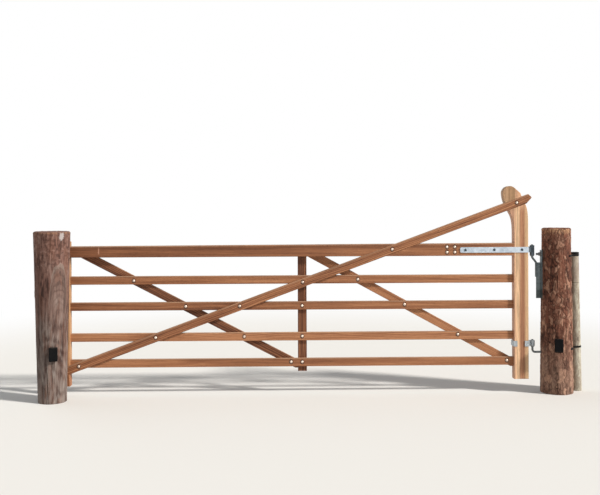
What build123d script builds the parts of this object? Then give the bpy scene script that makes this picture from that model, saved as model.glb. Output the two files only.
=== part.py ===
from build123d import *
import os
from math import asin, atan2, cos, degrees, hypot, radians, sin

# Wide hardwood field gate with one swept heel, hung on a round timber post and shut
# against a second one. Millimetres, +Z up, front of the gate towards -Y, hanging post
# at the origin, leaf running away from it towards -X.

# Round posts, cut off at ground level
hang_post_base_dia = 300.0
hang_post_top_dia = 263.0
hang_post_height = 1492.0
shut_post_base_dia = 248.0
shut_post_top_dia = 318.0
shut_post_height = 1486.0
post_rim_drop = 16.0
post_rim_cut = 5.0

# Where the leaf hangs
pin_to_post_centre = 221.0
pin_to_heel = 45.0
shut_gap = 14.0          # between the shutting post and the front of the leaf
shut_post_past_leaf = 36.0

# Leaf
leaf_length = 4203.0
leaf_thickness = 75.0
arris = 3.0
heel_width = 131.0
heel_bottom = 125.0
head_width = 70.0
head_bottom = 88.0
head_above_top_rail = 96.0
rail_depth = 75.0
rail_thickness = 25.0
rail_heights = [1034.0, 799.0, 521.0, 287.0]
top_rail_height = 1290.0     # its tenons; the rail is level below and tapers above
top_rail_below = 48.0
top_rail_above_at_heel = 66.0
top_rail_above_at_head = 52.0
top_rail_worn_edge = 8.0
tenon_depth = 50.0
tenon_thickness = 25.0

# Swept head of the heel: distance from the hinge edge, and height above the top rail's centre
sweep_start = 150.0
sweep_mid = (177.0, 360.0)
sweep_neck = (217.0, 446.0)
head_side = (229.0, 516.0)
head_crown = (175.0, 581.0)
head_slope_top = (125.0, 567.0)
head_slope_foot = (69.0, 518.0)
shoulder_mid = (23.0, 416.0)
shoulder_start = 265.0

# Braces
brace_depth = 75.0
brace_thickness = 25.0
long_brace_foot_from_head = 69.0      # where it crosses the bottom rail's centre line
long_brace_foot_drop = 25.0
long_brace_on_heel = 103.5
long_brace_rise = 430.0               # its bolt on the heel, above the top rail's centre
long_brace_nose = 147.0
nose_top_cut = 20.0
nose_low_cut = 66.0
nose_tip_drop = 3.0
nose_round = 10.0
left_brace_top_from_head = 71.0       # where it meets the top rail's centre line
left_brace_foot_from_stile = 88.0     # where it meets the bottom rail's centre line
right_brace_top_from_stile = 35.0
right_brace_foot_from_heel = 44.0
back_brace_past_rail = 16.0
housing_top_margin = 15.0
centre_stile_at = 2048.0
centre_stile_width = 80.0
centre_stile_past_rail = 46.0

# Hinge ironwork
pin_dia = 19.0
pin_play = 0.1           # radial play of the pin in its eye
seat_gap = 0.3           # between the eye and the collar that it rides on
eye_wall = 11.0
iron = 6.0
band_depth = 50.0
band_above_rail = 5.0
band_length = 620.0
band_end_round = 12.0
top_eye_height = 92.0
top_eye_drop = 8.0       # its middle, below the middle of the band
collar_dia = 32.0
collar_depth = 7.0
pin_above_eye = 8.0
crank_drop = 18.0
crank_leg = 130.0        # welded down the edge of the gusset
gusset_below_eye = 64.0
gusset_height = 325.0
gusset_from_pin = 36.0
gusset_thickness = 8.0
flange_above_gusset = 112.0
flange_width = 50.0
flange_thickness = 8.0
flange_let_in = 5.0
crank_bend = 24.0
clasp_height = 445.0
clasp_depth = 50.0
clasp_left_return = 28.0
clasp_right_return = 36.0
low_shank_drop = 82.0
low_shank_in_post = 110.0
hook_bolt_below_flange_top = 36.0
hook_bolt_dia = 20.0
hook_bolt_length = 190.0
hook_bolt_out = 42.0
nut_across_flats = 30.0
nut_height = 16.0
washer_dia = 50.0
washer_thickness = 4.0

# Boxes on the posts
box_width = 72.0
box_depth = 34.0
box_height = 120.0
box_edge = 4.0
box_let_in = 4.0
left_box_height = 433.0
right_box_height = 443.0
left_box_turn = 19.0
right_box_turn = -11.0

# Pipe strapped to the hanging post, its places measured from the post's axis
pipe_dia = 90.0
pipe_wall = 4.0
pipe_turn = 16.0
pipe_top = (184.0, 1251.0)
pipe_foot_at = 212.0
pipe_cap_height = 15.0
pipe_cap_lip = 2.5
clip_heights = [1241.0, 405.0]
clip_depth = 16.0
clip_wall = 3.0
clip_front_tail = 48.0   # degrees round the post
clip_back_tail = 16.0
clip_let_in = 1.0
clip_leg_inset = 0.5

pin_x = -pin_to_post_centre
heel_edge = pin_x - pin_to_heel
hang_post = (hang_post_base_dia, hang_post_top_dia, hang_post_height)
shut_post = (shut_post_base_dia, shut_post_top_dia, shut_post_height)
half_leaf = leaf_thickness / 2
shut_post_x = heel_edge - leaf_length - shut_post_past_leaf
shut_post_y = -(half_leaf + shut_gap + shut_post_top_dia / 2)
front_layer = -half_leaf + brace_thickness / 2
back_layer = half_leaf - brace_thickness / 2
eye_radius = pin_dia / 2 + eye_wall
bore_radius = pin_dia / 2 + pin_play
bottom_rail_height = rail_heights[-1]
head_top = top_rail_height + head_above_top_rail
band_height = top_rail_height + band_above_rail
top_eye_middle = band_height - top_eye_drop
top_eye_bottom = top_eye_middle - top_eye_height / 2
gusset_top = top_eye_bottom - gusset_below_eye
gusset_foot = gusset_top - gusset_height
flange_top = gusset_top + flange_above_gusset
hook_bolt_height = flange_top - hook_bolt_below_flange_top
low_shank_height = clasp_height - low_shank_drop
head_inner = leaf_length - head_width
long_brace_low = (head_inner - long_brace_foot_from_head, bottom_rail_height - long_brace_foot_drop)
long_brace_high = (long_brace_on_heel, top_rail_height + long_brace_rise)
left_brace_high = (head_inner - left_brace_top_from_head, top_rail_height)
left_brace_low = (centre_stile_at + left_brace_foot_from_stile, bottom_rail_height)
right_brace_high = (centre_stile_at - right_brace_top_from_stile, top_rail_height)
right_brace_low = (heel_width + right_brace_foot_from_heel, bottom_rail_height)


def leaf_x(from_heel):
    """X of a point that lies this far from the hinge edge of the heel."""
    return heel_edge - from_heel


def post_radius(post, z):
    base_dia, top_dia, height = post
    return (base_dia + (top_dia - base_dia) * z / height) / 2


def round_post(post):
    """Tapered post whose top edge has worn round."""
    base_dia, top_dia, height = post
    top = top_dia / 2
    half = make_face(Polyline((0, 0), (base_dia / 2, 0), (top, height - post_rim_drop),
                              (top - post_rim_cut, height - post_rim_cut), (top - post_rim_drop, height),
                              (0, height), close=True))
    return revolve(Plane.XZ * half, Axis.Z)


def slab(x_low, x_high, y_low, y_high, z_low, z_high):
    """Plain block between two corners."""
    block = Box(x_high - x_low, y_high - y_low, z_high - z_low)
    return Pos((x_low + x_high) / 2, (y_low + y_high) / 2, (z_low + z_high) / 2) * block


def eased(block, along):
    """Takes the sharp edges that run along one axis off a board."""
    return chamfer(block.edges().filter_by(along), arris)


def tenon(from_heel, to_heel, z):
    return slab(leaf_x(to_heel), leaf_x(from_heel), -tenon_thickness / 2, tenon_thickness / 2,
                z - tenon_depth / 2, z + tenon_depth / 2)


def thin_rail(z):
    length = leaf_length - heel_width - head_width
    middle = leaf_x(heel_width + length / 2)
    board = Pos(middle, 0, z) * eased(Box(length, rail_thickness, rail_depth), Axis.X)
    return board + tenon(0, heel_width, z) + tenon(leaf_length - head_width, leaf_length, z)


def top_rail_blank():
    near = leaf_x(heel_width)
    far = leaf_x(leaf_length - head_width)
    under = top_rail_height - top_rail_below
    side = make_face(Polyline((near, under), (near, top_rail_height + top_rail_above_at_heel),
                              (far, top_rail_height + top_rail_above_at_head), (far, under), close=True))
    rail = extrude(Plane.XZ * side, leaf_thickness / 2, both=True)
    long_edges = [edge for edge in rail.edges() if edge.length > leaf_length / 2]
    upper = [edge for edge in long_edges if edge.center().Z > top_rail_height]
    rail = chamfer(upper, top_rail_worn_edge)
    long_edges = [edge for edge in rail.edges() if edge.length > leaf_length / 2]
    lower = [edge for edge in long_edges if edge.center().Z < top_rail_height]
    return chamfer(lower, arris)


def run_of(low, high):
    return abs(low[0] - high[0])


def sloping_board(low, high, depth, layer, past_low, past_high, nose=None):
    """Board on the line between two points, each given as (from heel, height)."""
    rise = high[1] - low[1]
    run = low[0] - high[0]
    length = hypot(rise, run)
    left = -past_low
    right = length + past_high
    if nose:
        top_cut, low_cut, tip_drop = nose
        side = make_face(Polyline((left, -depth / 2), (right - low_cut, -depth / 2), (right, -tip_drop),
                                  (right - top_cut, depth / 2), (left, depth / 2), close=True))
        side = fillet(side.vertices().sort_by(Axis.X)[-3:], nose_round)
    else:
        side = make_face(Polyline((left, -depth / 2), (right, -depth / 2), (right, depth / 2),
                                  (left, depth / 2), close=True))
    board = extrude(Plane.XZ * side, brace_thickness / 2, both=True)
    tilt = Rot(0, -degrees(atan2(rise, run)), 0)
    return Pos(leaf_x(low[0]), layer, low[1]) * tilt * board


def long_edges_eased(board, least):
    edges = [edge for edge in board.edges() if edge.length > least]
    return chamfer(edges, arris)


def long_brace_blank():
    return sloping_board(long_brace_low, long_brace_high, brace_depth, front_layer,
                         past_low=leaf_length, past_high=long_brace_nose,
                         nose=(nose_top_cut, nose_low_cut, nose_tip_drop))


def leaf_side_limit(board, low_from_heel, high_from_heel, z_low, z_high):
    """Part of a board between two upright cuts and two level ones."""
    window = slab(leaf_x(high_from_heel), leaf_x(low_from_heel), -leaf_thickness, leaf_thickness,
                  z_low, z_high)
    return board & window


def long_brace(eased_edges=True):
    board = long_brace_blank()
    if eased_edges:
        board = long_edges_eased(board, leaf_length)
    return leaf_side_limit(board, -leaf_length, leaf_length, 0, 2 * top_rail_height)


def back_brace(low, high, near_heel, far_heel, eased_edges=True):
    spare = run_of(low, high) / 2
    board = sloping_board(low, high, brace_depth, back_layer, past_low=spare, past_high=spare)
    if eased_edges:
        board = long_edges_eased(board, spare)
    foot = bottom_rail_height - rail_depth / 2 - back_brace_past_rail
    return leaf_side_limit(board, near_heel, far_heel, foot, housing_top())


def housing_top():
    return top_rail_height + top_rail_above_at_head - housing_top_margin


def left_brace(eased_edges=True):
    return back_brace(left_brace_low, left_brace_high, centre_stile_at + centre_stile_width / 2,
                      leaf_length - head_width, eased_edges)


def right_brace(eased_edges=True):
    return back_brace(right_brace_low, right_brace_high, heel_width,
                      centre_stile_at - centre_stile_width / 2, eased_edges)


def centre_stile(eased_edges=True):
    foot = bottom_rail_height - rail_depth / 2 - centre_stile_past_rail
    height = housing_top() - foot
    board = Box(centre_stile_width, brace_thickness, height)
    if eased_edges:
        board = eased(board, Axis.Z)
    return Pos(leaf_x(centre_stile_at), back_layer, foot + height / 2) * board


def top_rail():
    rail = top_rail_blank()
    rail -= long_brace(False)
    for housed in (left_brace(False), right_brace(False), centre_stile(False)):
        rail -= housed
    rail += tenon(0, heel_width, top_rail_height)
    return rail + tenon(leaf_length - head_width, leaf_length, top_rail_height)


def heel_point(place):
    return (leaf_x(place[0]), place[1])


def head_point(place):
    """Point of the swept head, from its height above the top rail."""
    return heel_point((place[0], top_rail_height + place[1]))


def heel_outline():
    """Straight stile below, head swept towards the leaf above, drawn from the hinge edge up."""
    foot = Line(heel_point((heel_width, heel_bottom)), heel_point((0, heel_bottom)))
    hinge_side = Line(heel_point((0, heel_bottom)), head_point((0, shoulder_start)))
    shoulder = Spline(head_point((0, shoulder_start)), head_point(shoulder_mid), head_point(head_slope_foot),
                      tangents=((0, 1), (-0.3, 1)))
    slope = Line(head_point(head_slope_foot), head_point(head_slope_top))
    crown = ThreePointArc(head_point(head_slope_top), head_point(head_crown), head_point(head_side))
    sweep = Spline(head_point(head_side), head_point(sweep_neck), head_point(sweep_mid),
                   head_point((heel_width, sweep_start)), tangents=((0.05, -1), (0, -1)))
    inner_side = Line(head_point((heel_width, sweep_start)), heel_point((heel_width, heel_bottom)))
    return make_face([foot, hinge_side, shoulder, slope, crown, sweep, inner_side])


def heel_stile():
    stile = extrude(Plane.XZ * heel_outline(), leaf_thickness / 2, both=True)
    rims = [edge for edge in stile.edges() if abs(abs(edge.center().Y) - half_leaf) < 0.01]
    stile = chamfer(rims, arris)
    for z in rail_heights + [top_rail_height]:
        stile -= tenon(0, heel_width, z)
    return stile - long_brace(False)


def head_stile():
    height = head_top - head_bottom
    stile = Box(head_width, leaf_thickness, height)
    stile = chamfer(stile.edges().filter_by(Axis.Z) + stile.faces().sort_by(Axis.Z)[-1].edges(), arris)
    stile = Pos(leaf_x(leaf_length - head_width / 2), 0, head_bottom + height / 2) * stile
    for z in rail_heights + [top_rail_height]:
        stile -= tenon(leaf_length - head_width, leaf_length, z)
    return stile - long_brace(False)


def eye_plan():
    return Pos(pin_x, 0) * (Circle(eye_radius) - Circle(bore_radius))


def top_band():
    """One strap folded round the pin, with an arm on the front and one on the back of the leaf."""
    outer = half_leaf + iron
    arms = Sketch()
    for side in (-1, 1):
        arm = Polyline((leaf_x(band_length), side * half_leaf), (heel_edge, side * half_leaf),
                       (pin_x, side * (eye_radius - iron)), (pin_x, side * eye_radius),
                       (heel_edge, side * outer), (leaf_x(band_length), side * outer), close=True)
        arms += make_face(arm)
    plan = arms - Pos(pin_x, 0) * Circle(bore_radius)
    band = extrude(plan, band_depth / 2, both=True)
    tips = [edge for edge in band.edges().filter_by(Axis.Y)
            if abs(edge.center().X - leaf_x(band_length)) < 0.01]
    band = Pos(0, 0, band_height) * fillet(tips, band_end_round)
    return band + Pos(0, 0, top_eye_middle) * extrude(eye_plan(), top_eye_height / 2, both=True)


def bottom_clasp():
    """Clasp round the back of the heel, its ends turned in on the front, with the lower eye."""
    outer = half_leaf + iron
    plan = Pos(leaf_x(heel_width / 2), 0) * (Rectangle(heel_width + 2 * iron, 2 * outer)
                                            - Rectangle(heel_width, leaf_thickness))
    gap_low = leaf_x(heel_width - clasp_left_return)
    gap_high = leaf_x(clasp_right_return)
    plan -= Pos((gap_low + gap_high) / 2, -outer) * Rectangle(gap_high - gap_low, 3 * iron)
    neck_from = heel_edge + iron
    neck_to = pin_x - bore_radius
    plan += Pos((neck_from + neck_to) / 2, 0) * Rectangle(neck_to - neck_from, iron * 2)
    plan -= Pos(pin_x, 0) * Circle(bore_radius)
    return Pos(0, 0, clasp_height) * extrude(plan + eye_plan(), clasp_depth / 2, both=True)


def hook_collar(eye_bottom):
    return Pos(pin_x, 0, eye_bottom - seat_gap - collar_depth / 2) * Cylinder(collar_dia / 2, collar_depth)


def bent_bar(points, bend):
    path = FilletPolyline(*points, radius=bend)
    start = Plane(origin=path @ 0, z_dir=path % 0)
    return sweep(start * Circle(pin_dia / 2), path)


def flange_x():
    """Face of the flat that is cut in the hanging post for the hook plate."""
    return -post_radius(hang_post, gusset_foot) + flange_let_in


def hook_flange():
    return slab(flange_x() - flange_thickness, flange_x(), -flange_width / 2, flange_width / 2,
                gusset_foot, flange_top)


def top_hook():
    """Pin, crank and gusset welded to a plate on the post."""
    gusset_edge = pin_x + gusset_from_pin
    pin = bent_bar([(pin_x, 0, top_eye_middle + top_eye_height / 2 + pin_above_eye),
                    (pin_x, 0, top_eye_bottom - crank_drop), (gusset_edge, 0, gusset_top),
                    (gusset_edge, 0, gusset_top - crank_leg)], crank_bend)
    gusset = slab(gusset_edge, flange_x() - flange_thickness, -gusset_thickness / 2,
                  gusset_thickness / 2, gusset_foot, gusset_top)
    hole = Cylinder(hook_bolt_dia / 2, 4 * flange_thickness)
    hole = Pos(flange_x(), 0, hook_bolt_height) * Rot(0, 90, 0) * hole
    return pin + hook_collar(top_eye_bottom) + gusset + (hook_flange() - hole)


def top_hook_bolt():
    """Bolt through the hook plate into the post, with its washer and nut."""
    face = flange_x() - flange_thickness
    washer = Pos(face - washer_thickness / 2, 0, hook_bolt_height) * Rot(0, 90, 0) * Cylinder(
        washer_dia / 2, washer_thickness)
    nut_plan = RegularPolygon(nut_across_flats / 2, 6, major_radius=False)
    nut = extrude(Plane.YZ * nut_plan, nut_height)
    nut = Pos(face - washer_thickness - nut_height, 0, hook_bolt_height) * nut
    return washer + nut + hook_bolt_shank()


def hook_bolt_shank():
    start = flange_x() - flange_thickness - hook_bolt_out
    middle = start + hook_bolt_length / 2
    return Pos(middle, 0, hook_bolt_height) * Rot(0, 90, 0) * Cylinder(hook_bolt_dia / 2, hook_bolt_length)


def bottom_hook():
    """Pin bent at a right angle, its shank driven into the post."""
    eye_top = clasp_height + clasp_depth / 2
    eye_bottom = clasp_height - clasp_depth / 2
    radius = post_radius(hang_post, low_shank_height)
    pin = bent_bar([(pin_x, 0, eye_top + pin_above_eye), (pin_x, 0, low_shank_height),
                    (-radius + low_shank_in_post, 0, low_shank_height)], crank_bend)
    return pin + hook_collar(eye_bottom)


def post_box(post, turn, z):
    """Small box on the front of a post, turned about the post's own axis."""
    face = post_radius(post, z) - box_let_in
    box = Box(box_width, box_depth, box_height)
    front = box.faces().sort_by(Axis.Y)[0].edges()
    box = chamfer(box.edges().filter_by(Axis.Y) + front, box_edge)
    return Rot(0, 0, turn) * Pos(0, -face - box_depth / 2, z) * box


def box_seat(post, turn, z):
    face = post_radius(post, z) - box_let_in
    seat = Pos(0, -face - box_depth / 2, z) * Box(2 * box_width, box_depth, box_height)
    return Rot(0, 0, turn) * seat


def left_box():
    return Pos(shut_post_x, shut_post_y, 0) * post_box(shut_post, left_box_turn, left_box_height)


def right_box():
    return post_box(hang_post, right_box_turn, right_box_height)


def pipe_axis(z):
    """Distance of the pipe's centre line from the post's axis: it leans out towards the ground."""
    return pipe_foot_at + (pipe_top[0] - pipe_foot_at) * z / pipe_top[1]


def pipe_place(z):
    lean = degrees(atan2(pipe_top[0] - pipe_foot_at, pipe_top[1]))
    return Rot(0, 0, pipe_turn) * Pos(pipe_axis(z), 0, z) * Rot(0, lean, 0)


def pipe():
    body = pipe_place(0) * Cylinder(pipe_dia / 2, 2 * pipe_top[1])
    body -= Pos(0, 0, -pipe_top[1]) * Box(4 * pipe_foot_at, 4 * pipe_foot_at, 2 * pipe_top[1])
    body -= pipe_place(pipe_top[1]) * Pos(0, 0, pipe_top[1]) * Cylinder(pipe_dia, 2 * pipe_top[1])
    return body - pipe_place(0) * Cylinder(pipe_dia / 2 - pipe_wall, 4 * pipe_top[1])


def pipe_cap():
    cap = Cylinder(pipe_dia / 2 + pipe_cap_lip, pipe_cap_height)
    cap = chamfer(cap.faces().sort_by(Axis.Z)[-1].edges(), pipe_cap_lip)
    return pipe_place(pipe_top[1]) * Pos(0, 0, pipe_cap_height / 2) * cap


def post_sector(radius, from_turn, to_turn):
    """Slice of a strap lying round the post, between two directions from its axis."""
    reach = 3 * radius
    corners = [(reach * cos(radians(turn)), reach * sin(radians(turn))) for turn in (from_turn, to_turn)]
    return (Circle(radius + clip_wall) - Circle(radius)) & make_face(Polyline((0, 0), *corners, close=True))


def pipe_clip(z):
    """Saddle strap: over the pipe, back to the post on both sides, with tails lying on the post."""
    out = pipe_axis(z)
    bore = pipe_dia / 2
    seat = post_radius(hang_post, z) - clip_let_in
    outer = Pos(out, 0) * Circle(bore + clip_wall) + Pos(out / 2, 0) * Rectangle(out, 2 * (bore + clip_wall))
    between_legs = Pos(out / 2, 0) * Rectangle(out, 2 * (bore - clip_leg_inset))
    saddle = outer - between_legs - Circle(seat)
    side_turn = degrees(asin(bore / seat))
    saddle += post_sector(seat, -side_turn - clip_front_tail, -side_turn)
    saddle += post_sector(seat, side_turn, side_turn + clip_back_tail)
    strap = Rot(0, 0, pipe_turn) * Pos(0, 0, z) * extrude(saddle, clip_depth / 2, both=True)
    return strap - pipe_place(z) * Cylinder(bore, 3 * clip_depth)


def hanging_post():
    post = round_post(hang_post)
    post -= slab(-hang_post_base_dia, flange_x(), -flange_width / 2, flange_width / 2,
                 gusset_foot, flange_top)
    post -= hook_bolt_shank()
    post -= bottom_hook()
    post -= box_seat(hang_post, right_box_turn, right_box_height)
    for z in clip_heights:
        post -= pipe_clip(z)
    return post


def shutting_post():
    post = round_post(shut_post)
    post -= box_seat(shut_post, left_box_turn, left_box_height)
    return Pos(shut_post_x, shut_post_y, 0) * post


parts = {
    "hanging_post": hanging_post(),
    "shutting_post": shutting_post(),
    "top_hook": top_hook(),
    "top_hook_bolt": top_hook_bolt(),
    "bottom_hook": bottom_hook(),
    "left_post_box": left_box(),
    "right_post_box": right_box(),
    "side_pipe": pipe(),
    "side_pipe_cap": pipe_cap(),
    "side_pipe_clip_top": pipe_clip(clip_heights[0]),
    "side_pipe_clip_low": pipe_clip(clip_heights[1]),
    "heel_stile": heel_stile(),
    "head_stile": head_stile(),
    "top_rail": top_rail(),
    "centre_stile": centre_stile(),
    "long_brace": long_brace(),
    "left_back_brace": left_brace(),
    "right_back_brace": right_brace(),
    "top_band": top_band(),
    "bottom_clasp": bottom_clasp(),
}
for number, z in enumerate(rail_heights, start=2):
    parts["rail_%d" % number] = thin_rail(z)

os.makedirs("parts", exist_ok=True)
for name, solid in parts.items():
    export_step(solid, "parts/%s.step" % name)
    print(name, round(solid.volume / 1000), "cm3")
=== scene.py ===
import math
import random
import bpy
import bmesh
from mathutils import Euler, Matrix, Vector, noise


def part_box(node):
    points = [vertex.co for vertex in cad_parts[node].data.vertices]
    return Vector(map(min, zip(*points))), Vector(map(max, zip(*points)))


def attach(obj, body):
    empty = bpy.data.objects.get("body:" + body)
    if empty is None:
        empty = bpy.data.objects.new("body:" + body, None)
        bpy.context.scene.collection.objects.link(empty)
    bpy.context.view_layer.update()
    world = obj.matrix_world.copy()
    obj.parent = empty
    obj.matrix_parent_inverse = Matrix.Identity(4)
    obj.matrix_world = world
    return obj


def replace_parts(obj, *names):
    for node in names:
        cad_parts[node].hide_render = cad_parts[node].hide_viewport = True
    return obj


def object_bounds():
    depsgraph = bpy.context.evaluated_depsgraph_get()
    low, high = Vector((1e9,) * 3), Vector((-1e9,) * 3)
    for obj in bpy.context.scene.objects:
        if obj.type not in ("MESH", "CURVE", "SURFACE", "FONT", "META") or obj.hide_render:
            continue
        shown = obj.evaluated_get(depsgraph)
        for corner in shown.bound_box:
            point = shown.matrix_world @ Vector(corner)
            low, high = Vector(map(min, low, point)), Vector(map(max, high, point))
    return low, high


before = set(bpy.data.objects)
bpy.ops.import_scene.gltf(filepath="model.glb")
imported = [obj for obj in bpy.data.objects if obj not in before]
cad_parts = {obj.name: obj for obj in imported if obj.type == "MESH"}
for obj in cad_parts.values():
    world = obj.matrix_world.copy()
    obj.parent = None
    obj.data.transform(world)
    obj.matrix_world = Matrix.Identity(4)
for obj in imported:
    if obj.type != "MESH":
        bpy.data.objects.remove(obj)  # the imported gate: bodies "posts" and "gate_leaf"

cadLow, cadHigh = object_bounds()
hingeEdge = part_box("heel_stile")[1].x  # edge of the heel that faces the hanging post
leafFront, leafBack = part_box("top_rail")[0].y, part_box("top_rail")[1].y
railFace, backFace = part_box("rail_2")[0].y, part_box("rail_2")[1].y


def tint(red, green, blue):  # a colour as a paint chart gives it, made linear
    def linear(value):
        value /= 255
        return value / 12.92 if value <= 0.04045 else ((value + 0.055) / 1.055) ** 2.4
    return (linear(red), linear(green), linear(blue), 1.0)


def newMaterial(name):
    material = bpy.data.materials.new(name)
    material.use_nodes = True
    tree = material.node_tree
    tree.nodes.clear()
    output = tree.nodes.new("ShaderNodeOutputMaterial")
    shader = tree.nodes.new("ShaderNodeBsdfPrincipled")
    tree.links.new(shader.outputs["BSDF"], output.inputs["Surface"])
    return material, tree, shader


def setInput(tree, socket, value):
    if isinstance(value, bpy.types.NodeSocket):
        tree.links.new(value, socket)
    else:
        socket.default_value = value


def addNode(tree, kind, inputs=None, **settings):
    made = tree.nodes.new("ShaderNode" + kind)
    for key, value in settings.items():
        setattr(made, key, value)
    for key, value in (inputs or {}).items():
        setInput(tree, made.inputs[key], value)
    return made


def maths(tree, operation, first, second=0.0, third=None, clamp=False):
    inputs = {0: first, 1: second} if third is None else {0: first, 1: second, 2: third}
    return addNode(tree, "Math", inputs, operation=operation, use_clamp=clamp).outputs[0]


def times(tree, *values):
    total = values[0]
    for value in values[1:]:
        total = maths(tree, "MULTIPLY", total, value)
    return total


def minus(tree, first, second):
    return maths(tree, "SUBTRACT", first, second)


def plus(tree, total, value, weight):  # adds a value times its weight
    return maths(tree, "MULTIPLY_ADD", value, weight, total)


def blended(tree, parts, weights):  # sum of named patterns, each with its weight
    (first, share), *others = weights.items()
    total = times(tree, parts[first], share)
    for name, weight in others:
        total = plus(tree, total, parts[name], weight)
    return total


def fade(tree, value, start, end, low=0.0, high=1.0):  # smooth step between two values
    made = addNode(tree, "MapRange", {"Value": value, "From Min": start, "From Max": end,
                                      "To Min": low, "To Max": high}, interpolation_type="SMOOTHSTEP")
    return made.outputs["Result"]


def mixColour(tree, share, first, second, blend="MIX"):
    made = addNode(tree, "Mix", data_type="RGBA", blend_type=blend)
    setInput(tree, made.inputs[0], share)
    setInput(tree, made.inputs[6], first)
    setInput(tree, made.inputs[7], second)
    return made.outputs[2]


def coat(tree, under, over, *shares):  # lays a colour over another, by the product of shares
    return mixColour(tree, times(tree, *shares), under, over)


def ramp(tree, value, stops):
    made = addNode(tree, "ValToRGB", {"Fac": value})
    made.color_ramp.interpolation = "EASE"
    elements = made.color_ramp.elements
    elements[0].position, elements[0].color = stops[0]
    elements[1].position, elements[1].color = stops[-1]
    for position, colour in stops[1:-1]:
        elements.new(position).color = colour
    return made.outputs["Color"]


def threeTones(tree, value, colours, stops):  # dark, middle and light colour at three values
    return ramp(tree, value, list(zip(stops, (colours["dark"], colours["mid"], colours["light"]))))


def objectPlace(tree):
    return addNode(tree, "TexCoord").outputs["Object"]


def axisOf(tree, vector, axis):
    return addNode(tree, "SeparateXYZ", {"Vector": vector}).outputs[axis]


def attributeOf(tree, name):
    return addNode(tree, "Attribute", attribute_name=name).outputs["Fac"]


def upwardShare(tree):  # 1 on level tops, 0 on upright faces
    return axisOf(tree, addNode(tree, "NewGeometry").outputs["Normal"], "Z")


def mapped(tree, place, scale, offset):
    return addNode(tree, "Mapping", {"Vector": place, "Scale": scale, "Location": offset}).outputs["Vector"]


def vectorMaths(tree, operation, first, second=(0, 0, 0)):
    made = addNode(tree, "VectorMath", {0: first, 1: second}, operation=operation)
    return made.outputs["Value" if operation in ("LENGTH", "DISTANCE", "DOT_PRODUCT") else "Vector"]


def noiseAt(tree, place, *look, output="Fac"):  # scale, detail, roughness, distortion
    inputs = dict(zip(("Scale", "Detail", "Roughness", "Distortion"), look), Vector=place)
    return addNode(tree, "TexNoise", inputs).outputs[output]


def drawnOut(tree, place, look, seed=0.0, output="Fac"):
    scale, shift, *shape = look  # scale on each axis, shift by the seed, detail, roughness
    moved = mapped(tree, place, scale, [part * seed for part in shift])
    return noiseAt(tree, moved, 1.0, *shape, output=output)


def wandering(tree, place, look, seed):  # the place moved by a slow drift
    *pattern, reach = look
    drift = vectorMaths(tree, "SUBTRACT", drawnOut(tree, place, pattern, seed, "Color"), (0.5, 0.5, 0.5))
    return vectorMaths(tree, "ADD", place, vectorMaths(tree, "MULTIPLY", drift, reach))


def ringsAt(tree, place, look, axis):  # year rings round an axis
    sockets = ("Scale", "Distortion", "Detail", "Detail Scale", "Detail Roughness")
    inputs = dict(zip(sockets, look), Vector=place)
    return addNode(tree, "TexWave", inputs, wave_type="RINGS", rings_direction=axis).outputs["Fac"]


def finishShader(tree, shader, finish, colour, roughness, relief):
    bump = addNode(tree, "Bump", {"Height": relief, "Distance": finish["reliefDepth"]})
    values = {"Base Color": colour, "Roughness": roughness, "Normal": bump.outputs["Normal"],
              "Specular IOR Level": finish["specular"]}
    for name, value in values.items():
        setInput(tree, shader.inputs[name], value)


def dress(node, material):  # a CAD node keeps its shape and takes a new material
    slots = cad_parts[node].data.materials
    slots.clear()
    slots.append(material)


def meshOf(name, mesh):  # uses the bmesh up
    data = bpy.data.meshes.new(name)
    mesh.to_mesh(data)
    mesh.free()
    return data


def newObject(name, data):
    made = bpy.data.objects.new(name, data)
    bpy.context.scene.collection.objects.link(made)
    return made


def addPiece(name, mesh, body, material, sharp=None):
    bmesh.ops.recalc_face_normals(mesh, faces=mesh.faces)
    data = meshOf(name, mesh)
    for polygon in data.polygons:
        polygon.use_smooth = True
    if sharp:
        data.set_sharp_from_angle(angle=math.radians(sharp))
    data.materials.append(material)
    piece = newObject(name, data)
    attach(piece, body)
    return piece


def addShape(mesh, shape, place):  # puts a copy of one shape into a piece
    data = bpy.data.meshes.new("shape")
    shape.to_mesh(data)
    data.transform(place)
    mesh.from_mesh(data)
    bpy.data.meshes.remove(data)


def turned(profile, steps):  # half profile of (radius, height) spun round Z
    shape = bmesh.new()
    verts = [shape.verts.new((radius, 0, height)) for radius, height in profile]
    edges = [shape.edges.new(pair) for pair in zip(verts, verts[1:])]
    bmesh.ops.spin(shape, geom=verts + edges, axis=(0, 0, 1), cent=(0, 0, 0),
                   angle=math.tau, steps=steps, use_merge=True)
    bmesh.ops.remove_doubles(shape, verts=shape.verts, dist=1e-6)
    bmesh.ops.recalc_face_normals(shape, faces=shape.faces)
    return shape


def facing(point, direction):  # local +Z turned to a direction, at a point
    return Matrix.Translation(point) @ Vector(direction).to_track_quat("Z", "Y").to_matrix().to_4x4()


def outward(degrees, reach=1.0, height=0.0):  # turned from the front towards the right
    turn = math.radians(degrees)
    return (math.sin(turn) * reach, -math.cos(turn) * reach, height)


def leafPoint(fromHeel, height, depth=0.0):
    return Vector((hingeEdge - fromHeel, depth, height))


boltPlaces = {  # from the hinge edge of the heel, and height
    "long": [(4.054, 0.267), (3.367, 0.5215), (2.612, 0.800), (2.044, 1.013), (1.235, 1.304),
             (0.1035, 1.720)],
    "left": [(3.564, 1.031), (3.099, 0.797), (2.573, 0.522), (2.150, 0.292)],
    "right": [(1.545, 1.033), (1.122, 0.803), (0.639, 0.530), (0.193, 0.292)],
    "stile": [(2.050, 0.798), (2.050, 0.522), (2.050, 0.290)],
    "cluster": [(0.739, 1.323), (0.668, 1.323), (0.739, 1.276), (0.668, 1.276)],
    "strap": [(0.572, 1.294), (0.310, 1.296), (0.058, 1.296)],
}

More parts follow.
